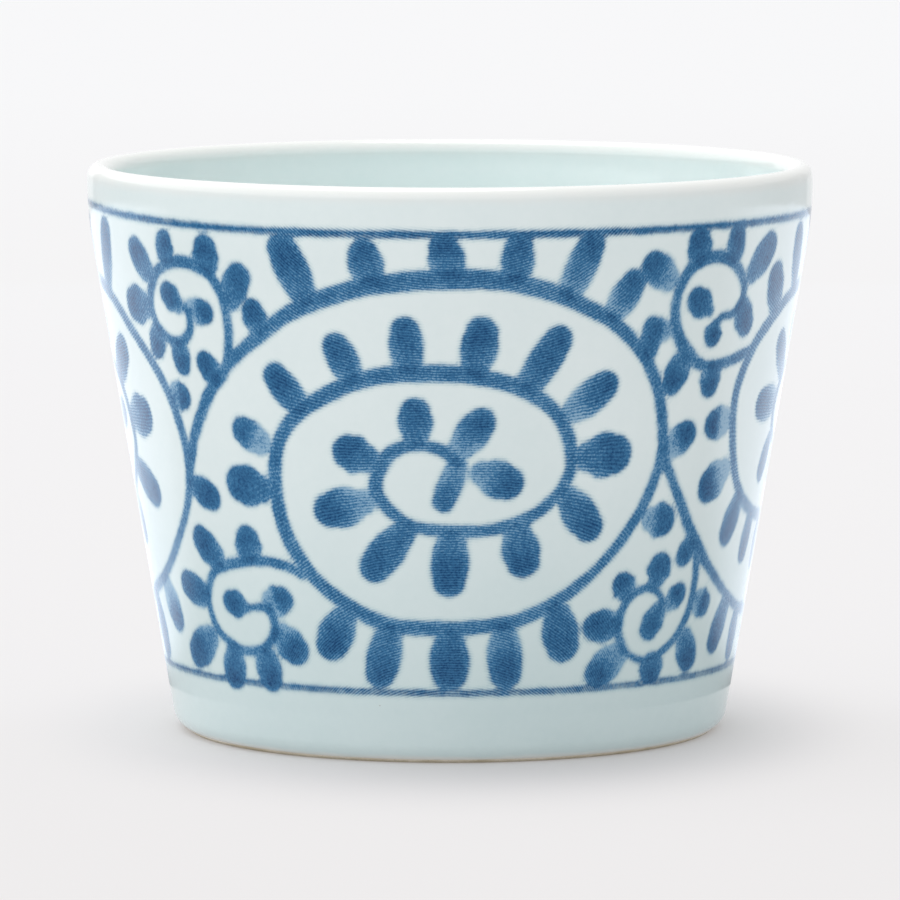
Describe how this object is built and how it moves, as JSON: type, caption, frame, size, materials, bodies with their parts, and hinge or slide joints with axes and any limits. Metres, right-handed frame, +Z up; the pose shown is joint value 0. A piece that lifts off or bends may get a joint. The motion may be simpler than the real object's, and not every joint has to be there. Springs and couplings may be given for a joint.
{
  "type": "teacup",
  "caption": "Handle-less flared porcelain teacup with a rounded lip, recessed foot, pale blue-white glaze and a cobalt-blue scroll-and-leaf print between border lines.",
  "frame": {"origin": "centre of the circle on which the foot ring stands", "axes": "+Z up the cup's axis; -Y through the front, the side where one large oval scroll faces the viewer"},
  "size_m": [0.082, 0.082, 0.0642],
  "materials": {
    "bare_porcelain": "unglazed, fine matt fired porcelain",
    "printed_glaze": "glossy clear blue-white glaze over a cobalt-blue print",
    "liner_glaze": "glossy clear pale teal-white glaze",
    "well_glaze": "glossy clear blue-white glaze with a bare ring round it"
  },
  "bodies": {
    "root": {"porcelain_body": "bare_porcelain", "outer_glaze": "printed_glaze", "inner_glaze": "liner_glaze", "base_glaze": "well_glaze"}
  },
  "joints": []
}
